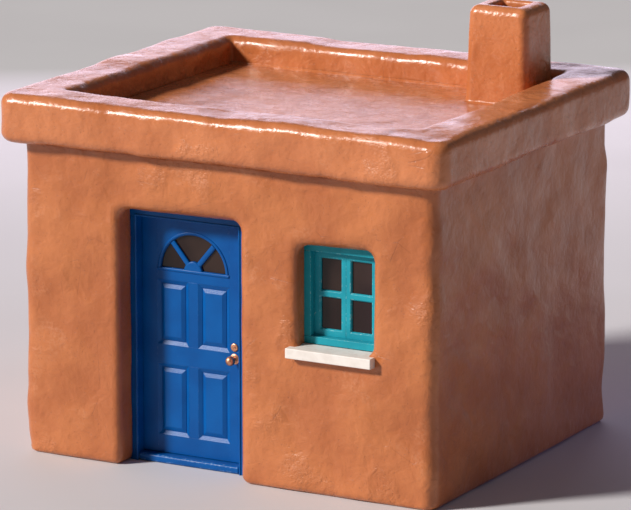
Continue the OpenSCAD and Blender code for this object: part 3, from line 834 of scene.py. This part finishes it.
def fan_spoke(side, angle):
    """Glazing bar from under the hub to just inside the rim."""
    along = Vector((math.cos(angle), 0, math.sin(angle)))
    across = Vector((-math.sin(angle), 0, math.cos(angle)))
    rings = []
    for distance in (0.060, FAN_R - 0.004):
        ring = []
        for share, depth in BAR_PROFILE:
            spot = along * distance + across * share * SPOKE_HALF
            ring.append(on_leaf(side, FAN_X + spot.x, FAN_Z + spot.z, depth))
        rings.append(ring)
    return sweep(rings)


def fan_foot(side):
    """Straight moulding under the fanlight, with thinner ends."""
    rings = []
    reach = FAN_R + FOOT_PAST
    full = reach - FOOT_END
    for x, thin in ((-reach, 0.55), (-full, 1.0), (full, 1.0), (reach, 0.55)):
        rings.append([on_leaf(side, FAN_X + x, FAN_Z + height * thin,
                              depth * thin if depth < 0.01 else 0.0005)
                      for height, depth in FOOT_PROFILE])
    return sweep(rings)


def fan_base_bead(side):
    """Bead between the foot moulding and the glass."""
    reach = FAN_R - 0.001
    tall = 0.011
    section = ((0.0, 0.0), (tall, 0.0), (tall, GROOVE_DEPTH), (0.0, GROOVE_DEPTH))
    rings = []
    for x in (-reach, reach):
        rings.append([on_leaf(side, FAN_X + x, FAN_Z + height, depth)
                      for height, depth in section])
    return sweep(rings)


fan_parts = []
for side in (1, -1):
    fan_parts.append(fan_arc(side, RIM_PROFILE, FAN_R))
    fan_parts.append(fan_hub(side))
    fan_parts.append(fan_foot(side))
    fan_parts.append(fan_base_bead(side))
    for angle in (SPOKE_ANGLE, 180 - SPOKE_ANGLE):
        fan_parts.append(fan_spoke(side, math.radians(angle)))
moulded("fanlight_moulding_rim", fan_parts, DOOR_LEVEL, "door_paint", "door",
        "fanlight_moulding")


# ---------------------------------------------------------------- door frame bead

def frame_bead():
    """Half-round bead round the inner edge of the door frame's face."""
    half = 0.009
    inset = 0.011
    section = [(half * math.cos(a), -half * 0.9 * math.sin(a) - 0.0002)
               for a in (math.pi * k / 8 for k in range(9))]
    path = ((CLEAR_LEFT - inset, 0.0), (CLEAR_LEFT - inset, CLEAR_TOP + inset),
            (CLEAR_RIGHT + inset, CLEAR_TOP + inset), (CLEAR_RIGHT + inset, 0.0))
    middle_x = (CLEAR_LEFT + CLEAR_RIGHT) / 2
    rings = []
    for x, z in path:
        outward_x = 1 if x > middle_x else -1
        lift = 1 if z > 0 else 0
        rings.append([(x + outward_x * across, FRAME_Y + depth, z + lift * across)
                      for across, depth in section])
    return sweep(rings)


moulded("door_frame_bead", [frame_bead()], DOOR_UPRIGHT, "door_paint", "house")


# ---------------------------------------------------------------- door furniture

def turned(centre, direction, profile, steps=48):
    """Solid of revolution about an axis along Y: the profile is (radius, distance out)."""
    rings = []
    for i in range(steps):
        angle = 2 * math.pi * i / steps
        rings.append([(centre[0] + r * math.cos(angle), centre[1] + direction * out,
                       centre[2] + r * math.sin(angle)) for r, out in profile])
    return sweep(rings, closed=True)


KNOB_LOW, KNOB_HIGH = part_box("knob_outside")
KNOB_X = (KNOB_LOW.x + KNOB_HIGH.x) / 2
KNOB_Z = (KNOB_LOW.z + KNOB_HIGH.z) / 2
LOCK_LOW, LOCK_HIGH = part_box("door_lock")
LOCK_Z = (LOCK_LOW.z + LOCK_HIGH.z) / 2
KNOB_R = (KNOB_HIGH.x - KNOB_LOW.x) / 2
KNOB_REACH = 0.072


def knob_profile():
    """Spindle, flared neck and slightly flattened ball, from the middle of the leaf outwards."""
    profile = [(0.0004, -0.0225), (0.007, -0.0225), (0.007, 0.009), (0.0135, 0.009),
               (0.0135, 0.012), (0.0115, 0.016), (0.0105, 0.024), (0.0120, 0.034)]
    for k in range(20):
        angle = math.radians(-66 + 8.2 * k)
        profile.append((KNOB_R * math.cos(angle), KNOB_REACH + KNOB_R * 0.94 * math.sin(angle)))
    profile.append((0.0004, KNOB_REACH + KNOB_R * 0.945))
    return profile


# Turned profiles: radius, distance out from the leaf's face
PLATE_PROFILE = (
    (0.0076, 0.0), (0.043, 0.0), (0.043, 0.0018), (0.0418, 0.0030), (0.0385, 0.0036),
    (0.0365, 0.0050), (0.0300, 0.0068), (0.0240, 0.0074), (0.0220, 0.0080), (0.0180, 0.0080),
    (0.0165, 0.0072), (0.0076, 0.0072),
)
LOCK_PROFILE = (
    (0.0004, 0.0), (0.034, 0.0), (0.034, 0.0035), (0.0325, 0.0065), (0.0290, 0.0088),
    (0.0230, 0.0100), (0.0165, 0.0100), (0.0150, 0.0088), (0.0125, 0.0088), (0.0118, 0.0125),
    (0.0100, 0.0130), (0.0004, 0.0130),
)


def key_slot(face_y, direction):
    """Narrow upright slot for the key: a bar that stands a hair proud of the plug, dark with
    painted shade for the slot's hollow.
    """
    half_width = 0.0011
    half_height = 0.0055
    rings = []
    for out in (0.0118, 0.01335):
        y = face_y + direction * out
        rings.append([(KNOB_X + across * half_width, y, LOCK_Z + up * half_height)
                      for across, up in ((-1, -1), (1, -1), (1, 1), (-1, 1))])
    return sweep(rings)


leaf_faces = ((LEAF_OUTSIDE, -1), (LEAF_INSIDE, 1))
for node, (face_y, direction) in zip(("knob_outside", "knob_inside"), leaf_faces):
    moulded(node + "_turned", [turned((KNOB_X, face_y, KNOB_Z), direction, knob_profile())],
            BRONZE, "bronze", "knob", node)
moulded("knob_roses", [turned((KNOB_X, y, KNOB_Z), d, PLATE_PROFILE) for y, d in leaf_faces],
        BRONZE, "bronze", "door", "knob_plates")
moulded("lock_collars", [turned((KNOB_X, y, LOCK_Z), d, LOCK_PROFILE) for y, d in leaf_faces],
        BRONZE, "bronze", "door", "door_lock")
# The key slots take the dark glass colour: painted shade where the slot's hollow would be
moulded("lock_key_slots_painted_shade", [key_slot(y, d) for y, d in leaf_faces], GLASS_SHADE_AND_REFLECTION, "bronze", "door")


# ---------------------------------------------------------------- CAD nodes that keep their shape

for node, material in (("floor_slab", EARTH), ("hinge_pins", BRASS), ("fanlight_glass", GLASS_SHADE_AND_REFLECTION),
                       ("window_glass", GLASS_SHADE_AND_REFLECTION)):
    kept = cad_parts[node]
    if not kept.material_slots:
        kept.data.materials.append(None)
    for material_slot in kept.material_slots:
        material_slot.link = "OBJECT"
        material_slot.material = material


# ---------------------------------------------------------------- floor, light and camera

def floor_material():
    """Plain pale studio floor, with the slightest change of tone."""
    n = Nodes("pale_floor")
    cloud = n.noise(0.35, 2.0)
    tone = n.blend(n.ramp(cloud, 0.3, 0.7), colour(218, 216, 220), colour(214, 212, 216))
    return n.set(Base_Color=tone, Roughness=0.75)


FLOOR_REACH = 90.0
floor_corners = [(across * FLOOR_REACH, along * FLOOR_REACH, 0)
                 for across, along in ((-1, -1), (1, -1), (1, 1), (-1, 1))]
floor_mesh = mesh_from("studio_floor", floor_corners, [(0, 1, 2, 3)])
floor_mesh.materials.append(floor_material())
studio_floor = bpy.data.objects.new("studio_floor", floor_mesh)
bpy.context.scene.collection.objects.link(studio_floor)
studio_floor.location.z = -0.001


def aimed(thing, place_at, target):
    """Puts a light or camera somewhere and points it at a target."""
    thing.location = place_at
    thing.rotation_euler = (Vector(target) - Vector(place_at)).to_track_quat("-Z", "Y").to_euler()
    return thing


def add_light(name, kind, place_at, target, energy, tint, **settings):
    """Aimed lamp that the camera doesn't see; the settings are those of Blender's light."""
    light = bpy.data.lights.new(name, kind)
    light.energy = energy
    light.color = tint
    for key, value in settings.items():
        setattr(light, key, value)
    lamp = bpy.data.objects.new(name, light)
    bpy.context.scene.collection.objects.link(lamp)
    lamp.visible_camera = False
    return aimed(lamp, place_at, target)


HOUSE_MIDDLE = (0, 0, 1.5)
add_light("key_light", "SUN", (-11.7, -12.0, 11.6), HOUSE_MIDDLE,
          energy=4.1, tint=(1.0, 0.96, 0.91), angle=math.radians(9))
add_light("rear_left_softbox", "AREA", (-8.0, 13.0, 5.0), (0, 0, 2.9),
          energy=520, tint=(0.95, 0.80, 1.0), shape="RECTANGLE", size=14.0, size_y=6.0)
low_right_softbox = add_light("low_right_softbox", "AREA", (6.5, 5.5, 0.7), (1.9, 0.9, 0.6),
                              energy=16, tint=(0.25, 0.28, 1.0), shape="RECTANGLE",
                              size=2.0, size_y=0.8, spread=math.radians(60))
low_right_softbox.visible_glossy = False

world = bpy.data.worlds.new("studio")
world.use_nodes = True
background = world.node_tree.nodes["Background"]
background.inputs["Color"].default_value = (0.93, 0.91, 0.95, 1.0)
background.inputs["Strength"].default_value = 0.10
bpy.context.scene.world = world

camera_data = bpy.data.cameras.new("camera")
camera_data.sensor_width = 36
camera_data.lens = 277.0
camera_data.clip_end = 400
camera = bpy.data.objects.new("camera", camera_data)
bpy.context.scene.collection.objects.link(camera)
aimed(camera, (18.709, -34.241, 10.793), (-0.035, 0, 1.538))
bpy.context.scene.camera = camera
bpy.context.scene.view_settings.view_transform = "Standard"
